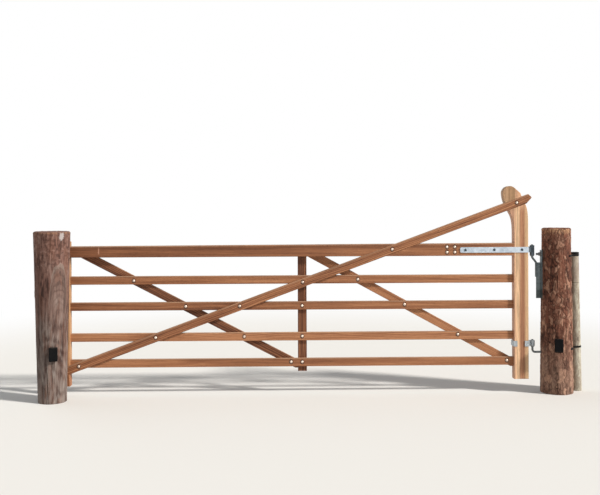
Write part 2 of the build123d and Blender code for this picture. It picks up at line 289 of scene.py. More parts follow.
# A range of two numbers is where a fade starts and ends, and two more are its values there.
hardwood = {
    "dark": tint(88, 52, 34), "mid": tint(143, 92, 61), "light": tint(188, 132, 93),
    "stops": (0.28, 0.52, 0.82),  # figure at which these three colours stand
    "weathered": tint(170, 138, 112), "sapwood": tint(224, 182, 132),
    "sapwoodShade": (0.34, 0.78, 0.80, 1.10), "poreShare": 0.45,
    "roughness": (0.2, 0.8, 0.72, 0.54), "specular": 0.3,
    "relief": {"pores": -0.6, "fibre": 0.5, "rings": 0.25}, "reliefDepth": 0.0006,
}

boardGrain = {  # patterns have X along the board
    "rings": (30.0, 2.4, 3.0, 1.3, 0.6), "alongGrain": 0.16,
    "wander": ((0.8, 3.0, 3.0), (1, 1, 1), 2.0, (0.0, 0.065, 0.065)),
    "streak": ((0.6, 40.0, 40.0), (1, 0, 0), 3.0, 0.6), "broad": ((0.9, 6.0, 6.0), (0, 0, 1), 2.0),
    "fibre": ((5.0, 330.0, 330.0), (0, 1, 0), 3.0, 0.65), "pores": ((16.0, 900.0, 900.0), (1, 1, 0), 1.0),
    "weights": {"streak": 0.64, "rings": 0.24, "fibre": 0.22, "broad": 0.42},
    "level": -0.255, "poreRange": (0.60, 0.70), "bandSway": 0.15,
}

# paler upper faces, from weathering and painted highlight, and a painted highlight line along the upper edges
wearAndHighlight = {"upward": (0.3, 0.9), "patches": (0.3, 0.65, 0.35, 0.8),
        "edge": (0.005, 0.010), "edgePatches": (0.3, 0.6, 0.6, 1.0)}

stain = {"colour": tint(46, 30, 24), "radius": 0.022, "core": 0.6, "rise": 0.78,
         "patches": (0.2, 0.7, 0.55, 0.9), "halfBoard": 0.055, "margin": 0.02}

railEdge = (0.0375, 0.0, 0.65)
braceEdge = (0.0375, 0.0, 0.40)
boardLooks = {
    # grain: degrees that it rises to the right. pith: place of the tree's centre across the board.
    # tone lightens the whole board, drift lightens it per metre towards the heel.
    # band: heights between which a lighter lower part ends, and how much lighter it is.
    # edge: half depth of the board, rise of its upper edge, and share of the painted highlight line there.
    # sapwood: share of paler timber, and the heights between which it sets in.
    "heel_stile": dict(grain=90, pith=(0.09, 0.02), tone=0.06, drift=0.0, seed=3.1),
    "head_stile": dict(grain=90, pith=(-0.12, 0.05), tone=0.06, drift=0.0, seed=7.7,
                       sapwood=(0.36, 0.20, 0.42)),
    "top_rail": dict(grain=0, pith=(0.05, 0.17), tone=-0.08, drift=0.060, seed=11.3,
                     band=(1.296, 1.310, 0.12), edge=(0.050, 0.0033, 0.45)),
    "rail_2": dict(grain=0, pith=(0.08, 0.12), tone=0.07, drift=0.032, seed=15.9, edge=railEdge),
    "rail_3": dict(grain=0, pith=(-0.07, 0.16), tone=0.01, drift=0.044, seed=21.2, edge=railEdge),
    "rail_4": dict(grain=0, pith=(0.10, -0.09), tone=0.21, drift=-0.012, seed=27.4, edge=railEdge),
    "rail_5": dict(grain=0, pith=(0.06, 0.15), tone=0.08, drift=0.0, seed=33.8, edge=railEdge),
    "centre_stile": dict(grain=90, pith=(0.10, 0.11), tone=-0.24, drift=0.0, seed=39.5),
    "long_brace": dict(grain=20.21, pith=(-0.11, 0.10), tone=0.02, drift=0.016, seed=45.1,
                       edge=braceEdge),
    "left_back_brace": dict(grain=-27.51, pith=(0.12, 0.08), tone=-0.12, drift=-0.02, seed=51.6),
    "right_back_brace": dict(grain=-28.62, pith=(0.09, -0.14), tone=0.12, drift=0.0, seed=57.9,
                             edge=braceEdge),
}

heelStripes = {  # distance from the hinge edge, and the tint there
    "below": [(0.000, 236, 200, 156), (0.022, 226, 186, 144), (0.040, 176, 124, 94), (0.074, 180, 130, 99),
              (0.088, 248, 208, 166), (0.119, 245, 202, 162), (0.132, 204, 158, 130)],
    "above": [(0.060, 218, 170, 134), (0.112, 214, 168, 133), (0.124, 174, 140, 104),
              (0.176, 180, 144, 108), (0.190, 200, 164, 128), (0.229, 194, 156, 120)],
    "change": (1.62, 1.72), "reach": 0.24, "sway": 0.03, "shade": (0.34, 0.78, 0.70, 1.12), "share": 0.8,
}

scuff = {"fromHeel": 3.872, "height": 1.300, "size": (0.0065, 0.034), "colour": tint(196, 146, 122),
         "share": 0.75}
markEdge = {"noise": (75.0, 4.0, 0.65), "weight": 2.2, "range": (1.75, 2.25)}


def boardTurn(look):
    return Euler((0, math.radians(look["grain"]), 0)).to_matrix()


def boltsOn(node, look):  # the bolts that go through one board
    low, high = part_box(node)
    margin, found = stain["margin"], []
    for fromHeel, height in sum(boltPlaces.values(), []):
        point = leafPoint(fromHeel, height)
        inside = all(low[axis] - margin < point[axis] < high[axis] + margin for axis in (0, 2))
        offset = point - (low + high) / 2
        offset.y = 0
        if inside and abs((boardTurn(look) @ offset).z) < stain["halfBoard"]:
            found.append(point)
    return found


def stainShare(tree, place, bolts):  # 1 at a bolt, falling away round it
    total = None
    for point in bolts:
        offset = vectorMaths(tree, "SUBTRACT", place, point)
        flat = vectorMaths(tree, "MULTIPLY", offset, (1.0, 0.0, stain["rise"]))
        reach = stain["radius"]
        near = fade(tree, vectorMaths(tree, "LENGTH", flat), reach * stain["core"], reach, 1.0, 0.0)
        total = near if total is None else maths(tree, "MAXIMUM", total, near)
    return total


def markShare(tree, place, point, mark):  # ragged oval mark about a point
    wide, tall = mark["size"]
    offset = vectorMaths(tree, "SUBTRACT", place, point)
    offset = vectorMaths(tree, "MULTIPLY", offset, (1 / wide, 1 / wide, 1 / tall))
    far = vectorMaths(tree, "LENGTH", offset)
    ragged = plus(tree, far, noiseAt(tree, place, *markEdge["noise"]), markEdge["weight"])
    return fade(tree, ragged, *markEdge["range"], mark["share"], 0.0)


def grainOf(tree, board, look):  # the patterns of a board's colour and relief
    seed = look["seed"]
    place = wandering(tree, board, boardGrain["wander"], seed)
    trunk = mapped(tree, place, (boardGrain["alongGrain"], 1.0, 1.0), (0.0, *look["pith"]))
    grain = {name: drawnOut(tree, place, boardGrain[name], seed) for name in ("streak", "fibre", "pores")}
    grain["broad"] = drawnOut(tree, board, boardGrain["broad"], seed)
    grain["rings"] = ringsAt(tree, trunk, boardGrain["rings"], "X")
    grain["pores"] = fade(tree, grain["pores"], *boardGrain["poreRange"])
    return grain


def boardFigure(tree, grain, board, height, look):  # how light the grain is at each place
    figure = blended(tree, grain, boardGrain["weights"])
    figure = plus(tree, figure, axisOf(tree, board, "X"), look["drift"])
    figure = maths(tree, "ADD", figure, look["tone"] + boardGrain["level"])
    if "band" in look:
        foot, top, lighter = look["band"]
        level = plus(tree, height, minus(tree, grain["broad"], 0.5), boardGrain["bandSway"])
        figure = maths(tree, "ADD", figure, fade(tree, level, foot, top, lighter, 0.0))
    return figure


def stripedColour(tree, colour, figure, streak, place):  # sapwood and heartwood stripes of the heel
    across = minus(tree, hingeEdge, axisOf(tree, place, "X"))
    across = plus(tree, across, minus(tree, streak, 0.5), heelStripes["sway"])
    reach = heelStripes["reach"]
    share = maths(tree, "DIVIDE", across, reach)
    bands = [ramp(tree, share, [(at / reach, tint(*shade)) for at, *shade in heelStripes[part]])
             for part in ("below", "above")]
    stripes = mixColour(tree, fade(tree, axisOf(tree, place, "Z"), *heelStripes["change"]), *bands)
    grained = mixColour(tree, 1.0, stripes, fade(tree, figure, *heelStripes["shade"]), "MULTIPLY")
    return coat(tree, colour, grained, heelStripes["share"])


def sapwoodColour(tree, colour, figure, height, look):
    share, foot, top = look["sapwood"]
    shade = fade(tree, figure, *hardwood["sapwoodShade"])
    pale = mixColour(tree, 1.0, hardwood["sapwood"], shade, "MULTIPLY")
    return coat(tree, colour, pale, fade(tree, height, foot, top, 0.0, share))


def weatherAndHighlightShare(tree, grain, board, look):  # paler upper faces, partly weathering and partly painted highlight, and a painted highlight line along the upper edge
    worn = times(tree, fade(tree, upwardShare(tree), *wearAndHighlight["upward"]),
                 fade(tree, grain["broad"], *wearAndHighlight["patches"]))
    # painted highlight: a pale line along the board's upper edge, where the light catches it
    if "edge" in look:
        half, rise, share = look["edge"]
        upper = plus(tree, half, axisOf(tree, board, "X"), rise)
        inward = minus(tree, upper, axisOf(tree, board, "Z"))
        line = times(tree, fade(tree, inward, *wearAndHighlight["edge"], share, 0.0),
                     fade(tree, grain["fibre"], *wearAndHighlight["edgePatches"]))
        worn = maths(tree, "MAXIMUM", worn, line)
    return worn


def boardMaterial(node, look):
    material, tree, shader = newMaterial(node + "_hardwood")
    low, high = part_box(node)
    place = objectPlace(tree)
    height = axisOf(tree, place, "Z")
    toCentre = -(boardTurn(look) @ ((low + high) / 2))
    board = addNode(tree, "Mapping", {"Vector": place, "Rotation": (0, math.radians(look["grain"]), 0),
                                      "Location": toCentre}).outputs["Vector"]
    grain = grainOf(tree, board, look)
    figure = boardFigure(tree, grain, board, height, look)
    colour = threeTones(tree, figure, hardwood, hardwood["stops"])
    if node == "heel_stile":
        colour = stripedColour(tree, colour, figure, grain["streak"], place)
    colour = coat(tree, colour, hardwood["dark"], grain["pores"], hardwood["poreShare"])
    if "sapwood" in look:
        colour = sapwoodColour(tree, colour, figure, height, look)
    # paler tops from weathering and painted highlight, and a painted highlight line on the upper edges
    colour = coat(tree, colour, hardwood["weathered"], weatherAndHighlightShare(tree, grain, board, look))
    if node == "top_rail":
        point = leafPoint(scuff["fromHeel"], scuff["height"], leafFront)
        colour = coat(tree, colour, scuff["colour"], markShare(tree, place, point, scuff))
    bolts = boltsOn(node, look)
    if bolts:
        patches = fade(tree, grain["fibre"], *stain["patches"])
        colour = coat(tree, colour, stain["colour"], stainShare(tree, place, bolts), patches)
    finishShader(tree, shader, hardwood, colour, fade(tree, figure, *hardwood["roughness"]),
                 blended(tree, grain, hardwood["relief"]))
    return material


for node, look in boardLooks.items():
    dress(node, boardMaterial(node, look))
    print(node, "takes stains from", len(boltsOn(node, look)), "bolts")
print("gate timber finished")


zincLooks = {
    # dull and bright parts of the coat, share of grime and painted shade. shade: axis, where it starts and is
    # full, share, colour: painted shade on the eye of the top band, which hangs in the shade of the post, and
    # on the foot of the hook's plate.
    "top_band": dict(dull=tint(170, 182, 194), bright=tint(208, 218, 228), grimeAndShade=0.10,
                     shade=("X", hingeEdge, hingeEdge + 0.004, 0.85, tint(44, 60, 70))),
    "bottom_clasp": dict(dull=tint(138, 146, 151), bright=tint(186, 193, 198), grimeAndShade=0.35),
    # painted shade: the dark tints and heavy grime share of top_hook, top_hook_bolt and bottom_hook stand in
    # for the shade the hooks hang in
    "top_hook": dict(dull=tint(78, 87, 90), bright=tint(118, 128, 131), grimeAndShade=0.45,
                     shade=("Z", 0.945, 0.915, 0.65, tint(48, 56, 54))),
    "top_hook_bolt": dict(dull=tint(86, 84, 84), bright=tint(128, 130, 130), grimeAndShade=0.6),
    "bottom_hook": dict(dull=tint(84, 88, 90), bright=tint(128, 134, 136), grimeAndShade=0.6),
    # painted highlight: the warm pale tints of the rail bolts copy the warm glint of sunlit bolt heads
    "rail_bolts": dict(dull=tint(186, 166, 152), bright=tint(244, 226, 210), grimeAndShade=0.12),
    "strap_bolts": dict(dull=tint(38, 46, 54), bright=tint(74, 84, 92), grimeAndShade=0.3),
}
zinc = {
    "spangle": 62.0, "cloud": (14.0, 4.0, 0.6), "fine": (420.0, 2.0),
    "weights": {"cloud": 0.84, "spangle": 0.16}, "stops": (0.25, 0.68), "metallic": 0.6, "specular": 0.5,
    "grimeAndShade": tint(74, 66, 60), "grimeAndShadeRange": (0.50, 0.72),
    "roughness": 0.34, "roughCloud": 0.25, "roughSpangle": 0.08, "fineRelief": 0.4, "reliefDepth": 0.0004,
}


def zincMaterial(name, look):
    material, tree, shader = newMaterial(name + "_zinc")
    place = objectPlace(tree)
    cells = addNode(tree, "TexVoronoi", {"Vector": place, "Scale": zinc["spangle"]}).outputs["Color"]
    spangle = addNode(tree, "SeparateColor", {"Color": cells}).outputs["Red"]
    cloud = noiseAt(tree, place, *zinc["cloud"])
    tone = blended(tree, {"cloud": cloud, "spangle": spangle}, zinc["weights"])
    colour = ramp(tree, tone, list(zip(zinc["stops"], (look["dull"], look["bright"]))))
    # painted shade: the eye of the top band and the foot of the hook's plate are darkened as if in shade
    if "shade" in look:
        axis, start, full, share, shade = look["shade"]
        colour = coat(tree, colour, shade, fade(tree, axisOf(tree, place, axis), start, full, 0.0, share))
    # grime, which on the hooks is mostly painted shade
    colour = coat(tree, colour, zinc["grimeAndShade"], fade(tree, cloud, *zinc["grimeAndShadeRange"]), look["grimeAndShade"])
    rough = plus(tree, zinc["roughness"], cloud, zinc["roughCloud"])
    rough = plus(tree, rough, spangle, zinc["roughSpangle"])
    relief = plus(tree, cloud, noiseAt(tree, place, *zinc["fine"]), zinc["fineRelief"])
    finishShader(tree, shader, zinc, colour, rough, relief)
    shader.inputs["Metallic"].default_value = zinc["metallic"]
    return material


for node in ("top_band", "bottom_clasp", "top_hook", "top_hook_bolt", "bottom_hook"):
    dress(node, zincMaterial(node, zincLooks[node]))
print("ironwork finished")


boltSize = {"headRadius": 0.0118, "headRise": 0.0058, "headLip": 0.0006, "headSunk": 0.0004, "arcStep": 15,
            "washerRadius": 0.0145, "washerThickness": 0.002, "nutFlats": 0.0165, "nutHeight": 0.0085,
            "nutCorner": 0.14, "shankRadius": 0.005, "threadPast": 0.007, "threadTurns": 5,
            "threadDepth": 0.0006, "threadInNut": 0.001, "steps": 28}


def domedHead():
    size = boltSize
    turns = [math.radians(turn) for turn in range(0, 91, size["arcStep"])]
    arc = [(size["headRadius"] * math.sin(turn), size["headRise"] * math.cos(turn) + size["headLip"])
           for turn in turns]
    return turned(arc + [(size["headRadius"], -size["headSunk"]), (0.0, -size["headSunk"])], size["steps"])


def hexNut():
    nut, height = bmesh.new(), boltSize["nutHeight"]
    corner = boltSize["nutFlats"] / 2 / math.cos(math.radians(30))
    bmesh.ops.create_cone(nut, cap_ends=True, segments=6, radius1=corner, radius2=corner, depth=height)
    bmesh.ops.translate(nut, verts=nut.verts, vec=(0, 0, height / 2))
    top = [vert for vert in nut.verts if vert.co.z > height / 2]
    bmesh.ops.bevel(nut, geom=top, affect="VERTICES", offset=corner * boltSize["nutCorner"], segments=1,
                    profile=0.5, material=-1)
    return nut


def boltEnd():  # washer, nut and the end of the thread
    size = boltSize
    thickness, radius, depth = size["washerThickness"], size["shankRadius"], size["threadDepth"]
    end = turned([(0.0, 0.0), (size["washerRadius"], 0.0), (size["washerRadius"], thickness),
                  (0.0, thickness)], size["steps"])
    addShape(end, hexNut(), Matrix.Translation((0, 0, thickness)))
    start = thickness + size["nutHeight"]
    pitch = size["threadPast"] / size["threadTurns"]
    thread = [(0.0, start - size["threadInNut"])]
    for step in range(size["threadTurns"]):
        foot = start + step * pitch
        thread += [(radius - depth, foot), (radius, foot + pitch / 2)]
    tip = start + size["threadPast"]
    thread += [(radius - 2 * depth, tip), (0.0, tip)]
    addShape(end, turned(thread, size["steps"]), Matrix())
    return end


boltRows = {  # front face of each row, and the back face behind each bolt
    "long": (leafFront, [backFace] * 3 + [leafBack] * 3),
    "left": (railFace, [leafBack] * 4), "right": (railFace, [leafBack] * 4),
    "stile": (railFace, [leafBack] * 3), "cluster": (leafFront, [leafBack] * 4),
    "strap": (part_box("top_band")[0].y, [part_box("top_band")[1].y] * 3),
}
sharpEdge = 35  # degrees past which an edge stays crisp
head, end = domedHead(), boltEnd()
turnRandom = random.Random(4)
railBoltLook = zincMaterial("rail_bolts", zincLooks["rail_bolts"])
strapBoltLook = zincMaterial("strap_bolts", zincLooks["strap_bolts"])
for group, (front, backs) in boltRows.items():
    mesh = bmesh.new()
    for place, back in zip(boltPlaces[group], backs):
        spin = Matrix.Rotation(turnRandom.uniform(0, math.tau), 4, "Z")
        addShape(mesh, head, facing(leafPoint(*place, front), (0, -1, 0)) @ spin)
        addShape(mesh, end, facing(leafPoint(*place, back), (0, 1, 0)) @ spin)
    look = strapBoltLook if group == "strap" else railBoltLook
    addPiece(group + "_bolts", mesh, "gate_leaf", look, sharp=sharpEdge)
print("bolts placed")


postLooks = {  # plateSize: bark plates to the metre, across and up
    "hanging_post": dict(
        baseRadius=0.150, topRadius=0.1315, sides=300, rows=240, seed=2.0, ripple=0.0016, plates=0.0042,
        plateSize=(34.0, 20.0), wobble=0.0035, knots=6, checks=9, deepest=0.012, sunk=0.0030),
    "shutting_post": dict(
        baseRadius=0.124, topRadius=0.159, sides=300, rows=240, seed=9.0, ripple=0.0012, plates=0.0006,
        plateSize=(22.0, 5.0), wobble=0.0030, knots=5, checks=8, deepest=0.010, sunk=0.0026),
}
rimSteps = [(0.0016, 0.006), (0.0034, 0.005), (0.0050, 0.003), (0.0060, 0.002)]  # worn rim: in, up
topShares = [0.93, 0.85, 0.76, 0.66, 0.56, 0.46, 0.36, 0.27, 0.18, 0.1]  # rings on the post's end

unevenness = {  # how often it comes round and along the post, and its seed
    "sway": (1.1, 0.9, (0, 0, 1)), "ripple": (19.0, 2.6, (1, 0, 0)),
    "fine": (46.0, 12.0, (0, 1, 0)), "patch": (3.0, 3.0, (2, 0, 0)),
}
bark = {"sideFrom": 0.9, "fineWeight": 0.6, "patchContrast": 1.6, "patchLow": 0.35, "plateTilt": 0.9,
        "bendScale": 0.9, "bendApart": 7, "bendReach": 0.75, "seamWidth": 0.30, "ownScale": 7.3,
        "deepPlates": 0.004, "seamShadeShare": 0.8}
checkForm = {"lengths": (0.2, 0.8), "lowestFoot": -0.1, "footBelowTop": 0.2, "apart": 0.15,
             "halfWidths": (0.0018, 0.0038), "depthShares": (0.35, 1.0), "taper": 0.22, "reach": 1.6,
             "wander": [(0.10, 3.1, 2.2, 0.5), (0.018, 1.7, 38.0, 3.5)],  # reach, shift, rise, level
             "centre": 0.25, "centreFade": 0.6, "fullShadeDepth": 0.005}
knotForm = {"foot": 0.15, "belowTop": 0.2, "sizes": (0.014, 0.026), "flatten": 0.8, "reach": 2.5,
            "swell": 0.005, "dent": 2.6, "ring": 1.4}
postEnd = {"depth": 0.0165, "rough": 0.0022, "roughScale": 30, "worn": 0.0015, "checkDown": 0.6,
           "reachShare": 0.5, "checkIn": 0.3}
hookSeat = {"halfWidth": 0.027, "below": 0.003, "above": 0.012}


def postGrid(look, height):
    mesh = bmesh.new()
    shaft = height - sum(rise for inset, rise in rimSteps)
    bmesh.ops.create_cone(mesh, cap_ends=False, segments=look["sides"], radius1=look["baseRadius"],
                          radius2=look["topRadius"], depth=shaft)
    bmesh.ops.translate(mesh, verts=mesh.verts, vec=(0, 0, shaft / 2))
    upright = [edge for edge in mesh.edges if abs(edge.verts[0].co.z - edge.verts[1].co.z) > shaft / 2]
    bmesh.ops.subdivide_edges(mesh, edges=upright, cuts=look["rows"], use_grid_fill=True)
    rim = [edge for edge in mesh.edges if edge.is_boundary and edge.verts[0].co.z > shaft / 2]
    radius = look["topRadius"]
    inner = radius - sum(inset for inset, rise in rimSteps)
    steps = rimSteps + [(inner * (a - b), 0.0) for a, b in zip([1.0] + topShares, topShares)]
    for inset, rise in steps:
        grown = bmesh.ops.extrude_edge_only(mesh, edges=rim)["geom"]
        ring = {item for item in grown if isinstance(item, bmesh.types.BMVert)}
        share = (radius - inset) / radius
        bmesh.ops.scale(mesh, vec=(share, share, 1), verts=list(ring))
        bmesh.ops.translate(mesh, vec=(0, 0, rise), verts=list(ring))
        rim = [item for item in grown if isinstance(item, bmesh.types.BMEdge) and set(item.verts) <= ring]
        radius -= inset
    bmesh.ops.contextual_create(mesh, geom=rim)
    foot = [edge for edge in mesh.edges if edge.is_boundary]
    bmesh.ops.contextual_create(mesh, geom=foot)
    return mesh


def smooth01(value):
    value = min(1.0, max(0.0, value))
    return value * value * (3 - 2 * value)


def turnBetween(first, second):  # signed angle from one direction to another
    return (first - second + math.pi) % math.tau - math.pi


def dryingChecks(look, height, draw):  # angle, foot, top, half width, depth
    checks = []
    for number in range(look["checks"]):
        length = draw.uniform(*checkForm["lengths"])
        foot = draw.uniform(checkForm["lowestFoot"], height - checkForm["footBelowTop"])
        angle = math.tau * number / look["checks"] + draw.uniform(-checkForm["apart"], checkForm["apart"])
        halfWidth = draw.uniform(*checkForm["halfWidths"])
        depth = look["deepest"] * draw.uniform(*checkForm["depthShares"])
        checks.append((angle, foot, foot + length, halfWidth, depth))
    return checks


def knotPlaces(look, height, draw):  # angle, height, size
    return [(draw.uniform(0, math.tau), draw.uniform(knotForm["foot"], height - knotForm["belowTop"]),
             draw.uniform(*knotForm["sizes"])) for number in range(look["knots"])]


def checkDepth(checks, seed, angle, z, radius):
    deepest, reach = 0.0, checkForm["reach"]
    for number, (place, foot, top, width, depth) in enumerate(checks):
        if not foot < z < top:
            continue
        taper = smooth01(min(z - foot, top - z) / checkForm["taper"])
        drift = 0.0
        for swing, shift, rise, level in checkForm["wander"]:
            drift += swing * noise.noise(Vector((seed + number * shift, z * rise, level)))
        across = abs(turnBetween(angle, place + drift)) * radius / max(width * taper, 1e-5)
        if across < reach:
            deepest = max(deepest, depth * taper * smooth01((reach - across) / reach))
    return deepest


def knotAt(knots, angle, z, radius):  # how far the timber swells, and how knotty it is
    swell, knotty = 0.0, 0.0
    for place, level, size in knots:
        rise = (z - level) * knotForm["flatten"]
        near = math.hypot(turnBetween(angle, place) * radius, rise) / size
        if near < knotForm["reach"]:
            hill, dent = math.exp(-near * near), math.exp(-(near * knotForm["dent"]) ** 2)
            swell += knotForm["swell"] * hill - knotForm["swell"] * dent
            knotty = max(knotty, math.exp(-near * near * knotForm["ring"]))
    return swell, knotty


def plateAt(look, around, z):  # bark plates: how far inside one, and a number of its own
    seed, (sideScale, upScale) = look["seed"], look["plateSize"]
    radius = look["topRadius"]
    place = Vector((around.x * radius * sideScale, around.y * radius * sideScale, z * upScale + seed))
    bent, apart = place * bark["bendScale"], bark["bendApart"]
    bend = Vector([noise.noise(bent + Vector(shift)) for shift in ((0, 0, 0), (apart, 0, 0), (0, apart, 0))])
    distances, points = noise.voronoi(place + bend * bark["bendReach"])
    inside = smooth01((distances[1] - distances[0]) / bark["seamWidth"])
    return inside, noise.noise(points[0] * bark["ownScale"])


def unevenAt(name, around, z, seed):
    turns, rise, shift = unevenness[name]
    offset = (shift[0] * seed, shift[1] * seed, shift[2] * seed + z * rise)
    return noise.noise(around * turns + Vector(offset))


def shapeVert(vert, look, height, checks, knots):  # new place, painted crack shade, knotty and flaky shares
    x, y, z = vert.co
    radius = math.hypot(x, y)
    if radius < 1e-6:
        return 0.0, 0.0, 0.0
    seed, angle = look["seed"], math.atan2(y, x)
    around = Vector((x / radius, y / radius, 0.0))
    side = smooth01(radius / (look["topRadius"] * bark["sideFrom"]))
    sway, ripple, fine, patch = [unevenAt(name, around, z, seed) for name in unevenness]
    patch = smooth01(0.5 + bark["patchContrast"] * patch)
    patchy = bark["patchLow"] + (1 - bark["patchLow"]) * patch
    plate, own = plateAt(look, around, z)
    swell, knotty = knotAt(knots, angle, z, radius)
    crack = checkDepth(checks, seed, angle, z, look["baseRadius"])
    crack *= smooth01((radius / look["topRadius"] - checkForm["centre"]) / checkForm["centreFade"])
    raised = look["plates"] * patchy * (plate - 1.0 + bark["plateTilt"] * own)
    ripples = look["ripple"] * (ripple + bark["fineWeight"] * fine)
    reach = (look["wobble"] * sway + ripples + raised + swell - look["sunk"]) * side
    reach = min(reach, 0.0)  # never past the CAD post
    if z > height - postEnd["depth"]:
        rough = noise.noise(Vector((x * postEnd["roughScale"], y * postEnd["roughScale"], seed)))
        vert.co.z += postEnd["rough"] * rough - postEnd["worn"] - crack * postEnd["checkDown"]
        grown = radius + reach * postEnd["reachShare"] - crack * postEnd["checkIn"] * side
    else:
        grown = radius + reach - crack
    vert.co.x, vert.co.y = around.x * grown, around.y * grown
    seam = (1.0 - plate) * min(1.0, look["plates"] / bark["deepPlates"]) * patchy * side
    # painted shade in the drying checks and in the seams between bark plates
    crackShade = min(1.0, max(crack / checkForm["fullShadeDepth"], seam * bark["seamShadeShare"]))
    return crackShade, knotty, (0.5 + 0.5 * own) * side


def letHookIn(mesh):  # flat on the hanging post for the plate of the top hook
    seat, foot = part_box("top_hook")[1].x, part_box("top_hook")[0].z - hookSeat["below"]
    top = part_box("top_hook_bolt")[1].z + hookSeat["above"]
    for vert in mesh.verts:
        behind = abs(vert.co.y) < hookSeat["halfWidth"] and vert.co.x < 0
        if behind and foot < vert.co.z < top:
            vert.co.x = max(vert.co.x, seat)


def buildPost(node, look, material):
    low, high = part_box(node)
    draw = random.Random(int(look["seed"] * 100))
    mesh = postGrid(look, high.z)
    checks = dryingChecks(look, high.z, draw)
    knots = knotPlaces(look, high.z, draw)
    crackShade = mesh.verts.layers.float.new("crackShade")
    knotty = mesh.verts.layers.float.new("knotty")
    flaky = mesh.verts.layers.float.new("flaky")
    for vert in mesh.verts:
        vert[crackShade], vert[knotty], vert[flaky] = shapeVert(vert, look, high.z, checks, knots)
    centre = (low + high) / 2
    bmesh.ops.translate(mesh, verts=mesh.verts, vec=(centre.x, centre.y, 0))
    if node == "hanging_post":
        letHookIn(mesh)
    return addPiece("weathered_" + node, mesh, "posts", material)


postPaint = {
    # greyRange: heights at which the grey of the foot ends and is full. coarse: scale of the coarse grain.
    # middleFoot, middleTop: heights over which the middle's tone sets in and ends. middleTones: the tone
    # that is added outside and inside them.
    "hanging_post": dict(
        dark=tint(50, 29, 24), mid=tint(124, 79, 62), light=tint(184, 138, 114), flake=tint(204, 160, 134),
        foot=tint(164, 138, 120), rim=tint(206, 160, 122), seed=5.0, turnGrey=0.6, greyRange=(0.70, 0.10),
        coarse=(70, 70, 26), rings=0.0, mottled=0.0, middleFoot=(0.30, 0.50), middleTop=(1.40, 1.24),
        middleTones=(0.014, -0.024), flakeShare=0.62, seamShadeShare=0.75, rimDepth=(0.075, 0.020), rimShare=0.85),
    "shutting_post": dict(
        dark=tint(58, 40, 35), mid=tint(114, 83, 73), light=tint(152, 122, 111), flake=tint(132, 88, 68),
        foot=tint(142, 133, 126), rim=tint(150, 112, 86), seed=8.0, turnGrey=0.85, greyRange=(1.20, 0.35),
        coarse=(46, 46, 5), rings=0.4, mottled=0.6, middleFoot=(0.20, 0.45), middleTop=(1.36, 1.16),
        middleTones=(0.0, -0.024), flakeShare=0.3, seamShadeShare=0.7, rimDepth=(0.032, 0.010), rimShare=0.7),
}

postWood = {
    "streak": ((34, 34, 1.5), (1, 0, 0), 4.0, 0.62), "fibre": ((240, 240, 9), (0, 1, 0), 3.0, 0.6),
    "blotch": ((9, 9, 4), (0, 0, 1), 3.0, 0.6), "mottle": ((40, 40, 30), (1, 1, 0), 3.0, 0.55),
    "coarse": ((0, 1, 1), 5.0, 0.68, 0.8), "speck": (160.0, 3.0, 0.6),
    "wander": ((3.0, 3.0, 1.3), (1, 0, 0), 2.0, (0.07, 0.07, 0.0)),
    "yearRings": (62.0, 1.2, 2.0, 1.6, 0.5), "endRings": (55.0, 3.0, 3.0, 1.5, 0.5),
    "weights": {"fibre": 0.22, "streak": 0.36, "coarse": 0.34, "blotch": 0.26}, "ringWeight": 0.16,
    "stops": (0.46, 0.60, 0.76), "greyUneven": (1.2, -0.6), "greyShade": (0.44, 0.72),
    "crownDepth": (0.42, 0.22), "mottles": {"dark": (0.52, 0.62), "light": (0.42, 0.34)},
    "flakes": (0.52, 0.66), "flakeSpecks": (0.3, 0.7, 0.25, 1.0), "knotShare": 0.6,
    "rimPatches": (0.44, 0.58), "crackShade": tint(24, 15, 12),
    "endUpward": (0.55, 0.85), "endStops": (0.2, 0.5, 0.85), "endWeights": {"blotch": 0.65, "endRings": 0.35},
    "roughness": (0.2, 0.8, 0.95, 0.75), "specular": 0.2,
    "relief": {"fibre": 1.0, "speck": 0.5, "streak": 0.5, "coarse": 1.0}, "reliefDepth": 0.0022,
}

paleMark = {"colour": tint(172, 163, 160), "turn": 48.0, "height": 1.444, "size": (0.024, 0.037),
            "share": 0.9}
arch = {"turn": 41.0, "apex": 1.195, "narrow": 6200.0, "step": 0.060, "end": 0.60,
        "streakSway": 0.05, "swayNoise": (16.0, 3.0, 0.6), "sway": 0.08, "front": (0.02, 0.08),
        "fullBelow": 0.15, "softTop": 0.010, "edgeBelow": (0.045, 0.025), "lineRange": (0.35, -0.9),
        # colour and share of its inside, its lines and its edge
        "paints": [(tint(128, 113, 105), 0.30), (tint(66, 47, 41), 0.40), (tint(150, 135, 124), 0.38)]}


def archShares(tree, local, tone):  # grain that rises to an arch: its inside, lines and edge
    apex, (right, ahead, level) = arch["apex"], outward(arch["turn"])
    across = vectorMaths(tree, "DOT_PRODUCT", local, (-ahead, right, level))
    out = vectorMaths(tree, "DOT_PRODUCT", local, (right, ahead, level))
    height = axisOf(tree, local, "Z")
    curve = plus(tree, height, times(tree, across, across, across, across), arch["narrow"])
    curve = plus(tree, curve, minus(tree, tone, 0.5), arch["streakSway"])
    curve = minus(tree, curve, arch["sway"] / 2)
    curve = plus(tree, curve, noiseAt(tree, local, *arch["swayNoise"]), arch["sway"])
    front = times(tree, fade(tree, out, *arch["front"]),
                  fade(tree, height, arch["end"], apex - arch["fullBelow"]))
    inside = times(tree, front, fade(tree, curve, apex + arch["softTop"], apex))
    edge = times(tree, inside, fade(tree, curve, *[apex - depth for depth in arch["edgeBelow"]]))
    phase = times(tree, minus(tree, apex, curve), math.tau / arch["step"])
    lines = times(tree, inside, fade(tree, maths(tree, "COSINE", phase), *arch["lineRange"]))
    return inside, lines, edge


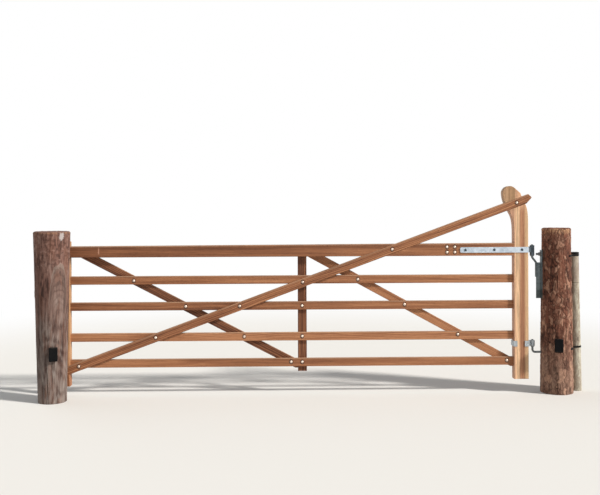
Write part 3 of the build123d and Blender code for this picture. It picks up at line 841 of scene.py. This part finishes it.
def timberOf(tree, local, paint):  # the patterns of a post's colour and relief
    looks = {name: postWood[name] for name in ("streak", "fibre", "blotch", "mottle")}
    looks["coarse"] = (paint["coarse"], *postWood["coarse"])
    timber = {name: drawnOut(tree, local, look, paint["seed"]) for name, look in looks.items()}
    timber["speck"] = noiseAt(tree, local, *postWood["speck"])
    trunk = wandering(tree, local, postWood["wander"], paint["seed"])
    timber["yearRings"] = ringsAt(tree, trunk, postWood["yearRings"], "Z")
    timber["endRings"] = ringsAt(tree, local, postWood["endRings"], "Z")
    return timber


def postTone(tree, timber, height, paint):  # how light the timber is at each place
    tone = blended(tree, timber, postWood["weights"])
    tone = plus(tree, tone, minus(tree, timber["yearRings"], 0.5), postWood["ringWeight"] * paint["rings"])
    middle = times(tree, fade(tree, height, *paint["middleFoot"]), fade(tree, height, *paint["middleTop"]))
    return maths(tree, "ADD", tone, fade(tree, middle, 0.0, 1.0, *paint["middleTones"]))


def greyedColour(tree, colour, timber, tone, height, paint):  # the foot weathers grey
    uneven = maths(tree, "MULTIPLY_ADD", timber["blotch"], *postWood["greyUneven"])
    grey = maths(tree, "ADD", fade(tree, height, *paint["greyRange"]), uneven, clamp=True)
    greyTone = mixColour(tree, fade(tree, tone, *postWood["greyShade"]), paint["dark"], paint["foot"])
    return coat(tree, colour, greyTone, grey, paint["turnGrey"])


def surfaceColour(tree, colour, timber, height, top, paint):  # mottled crown, flakes, knots, rim
    crown = fade(tree, height, *[top - depth for depth in postWood["crownDepth"]])
    crown = times(tree, crown, paint["mottled"])
    for part, tones in postWood["mottles"].items():
        colour = coat(tree, colour, paint[part], fade(tree, timber["mottle"], *tones), crown)
    flakes = fade(tree, attributeOf(tree, "flaky"), *postWood["flakes"])
    specks = fade(tree, timber["speck"], *postWood["flakeSpecks"])
    colour = coat(tree, colour, paint["flake"], flakes, specks, paint["flakeShare"])
    colour = coat(tree, colour, paint["dark"], attributeOf(tree, "knotty"), postWood["knotShare"])
    rim = fade(tree, height, *[top - depth for depth in paint["rimDepth"]])
    chips = fade(tree, timber["coarse"], *postWood["rimPatches"])
    return coat(tree, colour, paint["rim"], rim, chips, paint["rimShare"])


def postMaterial(node, paint):
    material, tree, shader = newMaterial(node + "_timber")
    low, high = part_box(node)
    centre = (low + high) / 2
    local = mapped(tree, objectPlace(tree), (1, 1, 1), (-centre.x, -centre.y, 0))
    height = axisOf(tree, local, "Z")
    timber = timberOf(tree, local, paint)
    tone = postTone(tree, timber, height, paint)
    colour = threeTones(tree, tone, paint, postWood["stops"])
    colour = greyedColour(tree, colour, timber, tone, height, paint)
    if node == "shutting_post":
        for part, (shade, share) in zip(archShares(tree, local, timber["streak"]), arch["paints"]):
            colour = coat(tree, colour, shade, part, share)
    colour = surfaceColour(tree, colour, timber, height, high.z, paint)
    if node == "shutting_post":
        point = outward(paleMark["turn"], postLooks[node]["topRadius"], paleMark["height"])
        colour = coat(tree, colour, paleMark["colour"], markShare(tree, local, point, paleMark))
    endTone = blended(tree, timber, postWood["endWeights"])
    endColour = threeTones(tree, endTone, paint, postWood["endStops"])
    colour = coat(tree, colour, endColour, fade(tree, upwardShare(tree), *postWood["endUpward"]))
    # painted shade darkens the drying checks and bark seams
    colour = coat(tree, colour, postWood["crackShade"], attributeOf(tree, "crackShade"), paint["seamShadeShare"])
    roughness = fade(tree, timber["fibre"], *postWood["roughness"])
    finishShader(tree, shader, postWood, colour, roughness, blended(tree, timber, postWood["relief"]))
    return material


for node, look in postLooks.items():
    piece = buildPost(node, look, postMaterial(node, postPaint[node]))
    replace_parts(piece, node)
    print(node, "has", len(piece.data.polygons), "faces")


plastic = {"black": tint(8, 8, 10), "dust": tint(90, 84, 76), "dustUpward": (0.1, 0.9, 0.02, 0.5),
           "dustPatches": (0.35, 0.7), "cloud": (22.0, 4.0, 0.6), "grit": (700.0, 2.0),
           "roughness": (0.3, 0.7, 0.42, 0.7), "specular": 0.1, "reliefDepth": 0.0003}


def blackMaterial(name):
    material, tree, shader = newMaterial(name)
    place = objectPlace(tree)
    cloud = noiseAt(tree, place, *plastic["cloud"])
    dust = fade(tree, upwardShare(tree), *plastic["dustUpward"])
    patches = fade(tree, cloud, *plastic["dustPatches"])
    colour = coat(tree, plastic["black"], plastic["dust"], dust, patches)
    roughness = fade(tree, cloud, *plastic["roughness"])
    finishShader(tree, shader, plastic, colour, roughness, noiseAt(tree, place, *plastic["grit"]))
    return material


pipePaint = {"light": tint(186, 181, 162), "mid": tint(150, 138, 122), "dark": tint(94, 82, 71),
             "stops": (0.32, 0.45, 0.58), "blotch": ((36, 36, 10), (0, 0, 0), 4.0, 0.65),
             "fine": ((220, 220, 60), (0, 0, 0), 3.0), "weights": {"fine": 0.3, "blotch": 0.7},
             "joint": tint(64, 54, 46), "jointHeight": 0.99, "jointWidth": 0.004, "jointShare": 0.75,
             "upperBrown": tint(124, 98, 88), "upperBrownFrom": (0.94, 1.06), "upperBrownShare": 0.42,
             "roughness": (0.3, 0.7, 0.8, 0.55), "specular": 0.5, "reliefDepth": 0.0008}


def pipeMaterial():
    material, tree, shader = newMaterial("weathered_pipe")
    place = objectPlace(tree)
    height = axisOf(tree, place, "Z")
    patterns = {name: drawnOut(tree, place, pipePaint[name]) for name in ("fine", "blotch")}
    tone = blended(tree, patterns, pipePaint["weights"])
    colour = threeTones(tree, tone, pipePaint, pipePaint["stops"])
    # browner and darker from 0.94 m up
    upperBrown = fade(tree, height, *pipePaint["upperBrownFrom"], 0.0, pipePaint["upperBrownShare"])
    colour = coat(tree, colour, pipePaint["upperBrown"], upperBrown)
    away = maths(tree, "ABSOLUTE", minus(tree, height, pipePaint["jointHeight"]))
    width = pipePaint["jointWidth"]
    joint = fade(tree, away, width / 2, width, pipePaint["jointShare"], 0.0)
    colour = coat(tree, colour, pipePaint["joint"], joint)
    roughness = fade(tree, patterns["blotch"], *pipePaint["roughness"])
    finishShader(tree, shader, pipePaint, colour, roughness, minus(tree, tone, joint))
    return material


blackLook = blackMaterial("black_plastic")
for node in ("side_pipe_cap", "side_pipe_clip_top", "side_pipe_clip_low"):
    dress(node, blackLook)
dress("side_pipe", pipeMaterial())
print("pipe finished")


boxSize = {"width": 0.072, "depth": 0.034, "height": 0.120, "baseDepth": 0.011, "baseInset": 0.0012,
           "corner": 0.005, "roundSteps": 4, "panelInset": 0.009, "panelDrop": 0.0012, "letIn": 0.004,
           "screwRadius": 0.0032, "screwUp": 0.051, "screwRise": 0.0009, "screwEdge": (0.7, 0.0007),
           "screwSunk": 0.001, "screwSteps": 20}
boxPlaces = {  # the post that carries it, its turn round the post
    "left_post_box": dict(post="shutting_post", turn=19.0),
    "right_post_box": dict(post="hanging_post", turn=-11.0),
}


def roundedBlock(width, depth, height, corner):
    block = bmesh.new()
    bmesh.ops.create_cube(block, size=1.0)
    bmesh.ops.scale(block, vec=(width, depth, height), verts=block.verts)
    bmesh.ops.bevel(block, geom=block.edges[:], affect="EDGES", offset=corner,
                    segments=boxSize["roundSteps"], profile=0.5, material=-1)
    return block


def coverScrew():
    size = boxSize
    radius, (share, edge) = size["screwRadius"], size["screwEdge"]
    return turned([(0.0, size["screwRise"]), (radius * share, edge), (radius, 0.0),
                   (radius, -size["screwSunk"]), (0.0, -size["screwSunk"])], size["screwSteps"])


def boxShape():  # base, cover with a sunk panel, and two screws; front is -Y
    size = boxSize
    coverDepth = size["depth"] - size["baseDepth"]
    shape = bmesh.new()
    base = roundedBlock(size["width"] - 2 * size["baseInset"], size["baseDepth"],
                        size["height"] - 2 * size["baseInset"], size["corner"] / 2)
    addShape(shape, base, Matrix.Translation((0, coverDepth / 2, 0)))
    cover = roundedBlock(size["width"], coverDepth, size["height"], size["corner"])
    front = [min(cover.faces, key=lambda face: face.calc_center_median().y)]
    bmesh.ops.inset_region(cover, faces=front, thickness=size["panelInset"], depth=0.0)
    bmesh.ops.inset_region(cover, faces=front, thickness=size["panelDrop"], depth=-size["panelDrop"])
    addShape(shape, cover, Matrix.Translation((0, -size["baseDepth"] / 2, 0)))
    screw = coverScrew()
    for side in (-1, 1):
        place = (0, -size["depth"] / 2 + size["screwRise"], side * size["screwUp"])
        addShape(shape, screw, facing(place, (0, -1, 0)))
    return shape


def postRadius(look, node, height):
    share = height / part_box(node)[1].z
    return look["baseRadius"] + (look["topRadius"] - look["baseRadius"]) * share


cover = boxShape()
for node, place in boxPlaces.items():
    post = place["post"]
    axis = (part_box(post)[0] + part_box(post)[1]) / 2
    height = (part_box(node)[0].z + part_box(node)[1].z) / 2
    out = postRadius(postLooks[post], post, height) - boxSize["letIn"] + boxSize["depth"] / 2
    turn = Matrix.Rotation(math.radians(place["turn"]), 4, "Z")
    stand = Matrix.Translation((axis.x, axis.y, height)) @ turn
    mesh = bmesh.new()
    addShape(mesh, cover, stand @ Matrix.Translation((0, -out, 0)))
    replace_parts(addPiece(node + "_case", mesh, "posts", blackLook, sharp=sharpEdge), node)
print("post boxes finished")


studio = {
    "floor": {"Base Color": tint(226, 224, 220), "Roughness": 0.9, "Specular IOR Level": 0.1},
    "floorRadius": 60, "floorSides": 96, "clearRadius": 3.4, "whiteRadius": 7.5, "white": (1, 1, 1, 1),
    "sky": (0.94, 0.97, 1.0, 1), "skyStrength": 0.29,
    "key": dict(strength=4.55, azimuth=66, height=33, softness=6, colour=(1, 0.97, 0.92)),
    "fill": dict(strength=0.55, azimuth=-120, height=40, softness=60, colour=(0.95, 0.97, 1)),
}
photoView = {"place": (-2.465, -7.239, 1.677), "yaw": -1.06, "roll": -0.22, "lens": 48.0,
             "sensor": 36.0, "shiftUp": -0.0653}


def whiteForCamera(tree, plain, white):  # white behind the gate, and in what metal reflects
    rays = addNode(tree, "LightPath").outputs
    seen = maths(tree, "MAXIMUM", rays["Is Camera Ray"], rays["Is Glossy Ray"])
    seen = maths(tree, "MAXIMUM", seen, rays["Is Transmission Ray"])
    return addNode(tree, "MixShader", {"Fac": seen, 1: plain, 2: white}).outputs[0]


def buildWorld():
    world = bpy.data.worlds.new("studio")
    bpy.context.scene.world = world
    world.use_nodes = True
    tree = world.node_tree
    tree.nodes.clear()
    light = {"Color": studio["sky"], "Strength": studio["skyStrength"]}
    soft = addNode(tree, "Background", light).outputs[0]
    white = addNode(tree, "Background", {"Color": studio["white"], "Strength": 1.0}).outputs[0]
    output = tree.nodes.new("ShaderNodeOutputWorld")
    tree.links.new(whiteForCamera(tree, soft, white), output.inputs["Surface"])


def buildFloor():
    mesh = bmesh.new()
    bmesh.ops.create_circle(mesh, cap_ends=True, segments=studio["floorSides"], radius=studio["floorRadius"])
    floor = newObject("studio_floor", meshOf("studio_floor", mesh))
    material, tree, shader = newMaterial("studio_floor")
    output = tree.get_output_node("ALL")
    for name, value in studio["floor"].items():
        shader.inputs[name].default_value = value
    centre = (cadLow + cadHigh) / 2
    far = vectorMaths(tree, "DISTANCE", objectPlace(tree), (centre.x, centre.y, 0))
    edge = fade(tree, far, studio["clearRadius"], studio["whiteRadius"])
    white = addNode(tree, "Emission", {"Color": studio["white"], "Strength": 1.0}).outputs[0]
    lit = addNode(tree, "MixShader", {"Fac": edge, 1: shader.outputs[0], 2: white}).outputs[0]
    tree.links.new(whiteForCamera(tree, shader.outputs[0], lit), output.inputs["Surface"])
    floor.data.materials.append(material)


def addSun(name):
    look = studio[name]
    lamp = bpy.data.lights.new(name, "SUN")
    lamp.energy = look["strength"]
    lamp.angle = math.radians(look["softness"])
    lamp.color = look["colour"]
    rise = math.radians(look["height"])
    towards = Vector(outward(look["azimuth"], math.cos(rise), math.sin(rise)))
    newObject(name, lamp).rotation_euler = towards.to_track_quat("Z", "Y").to_euler()


def buildCamera():
    view = photoView
    data = bpy.data.cameras.new("photo_camera")
    data.lens = view["lens"]
    data.sensor_width = view["sensor"]
    data.shift_y = view["shiftUp"]
    camera = newObject("photo_camera", data)
    level = Matrix.Rotation(math.radians(view["yaw"]), 4, "Z") @ Matrix.Rotation(math.radians(90), 4, "X")
    roll = Matrix.Rotation(math.radians(view["roll"]), 4, "Z")
    camera.matrix_world = Matrix.Translation(view["place"]) @ level @ roll
    bpy.context.scene.camera = camera


buildWorld()
buildFloor()
addSun("key")
addSun("fill")
buildCamera()
bpy.context.scene.view_settings.view_transform = "Standard"
print("stage, light and camera set")
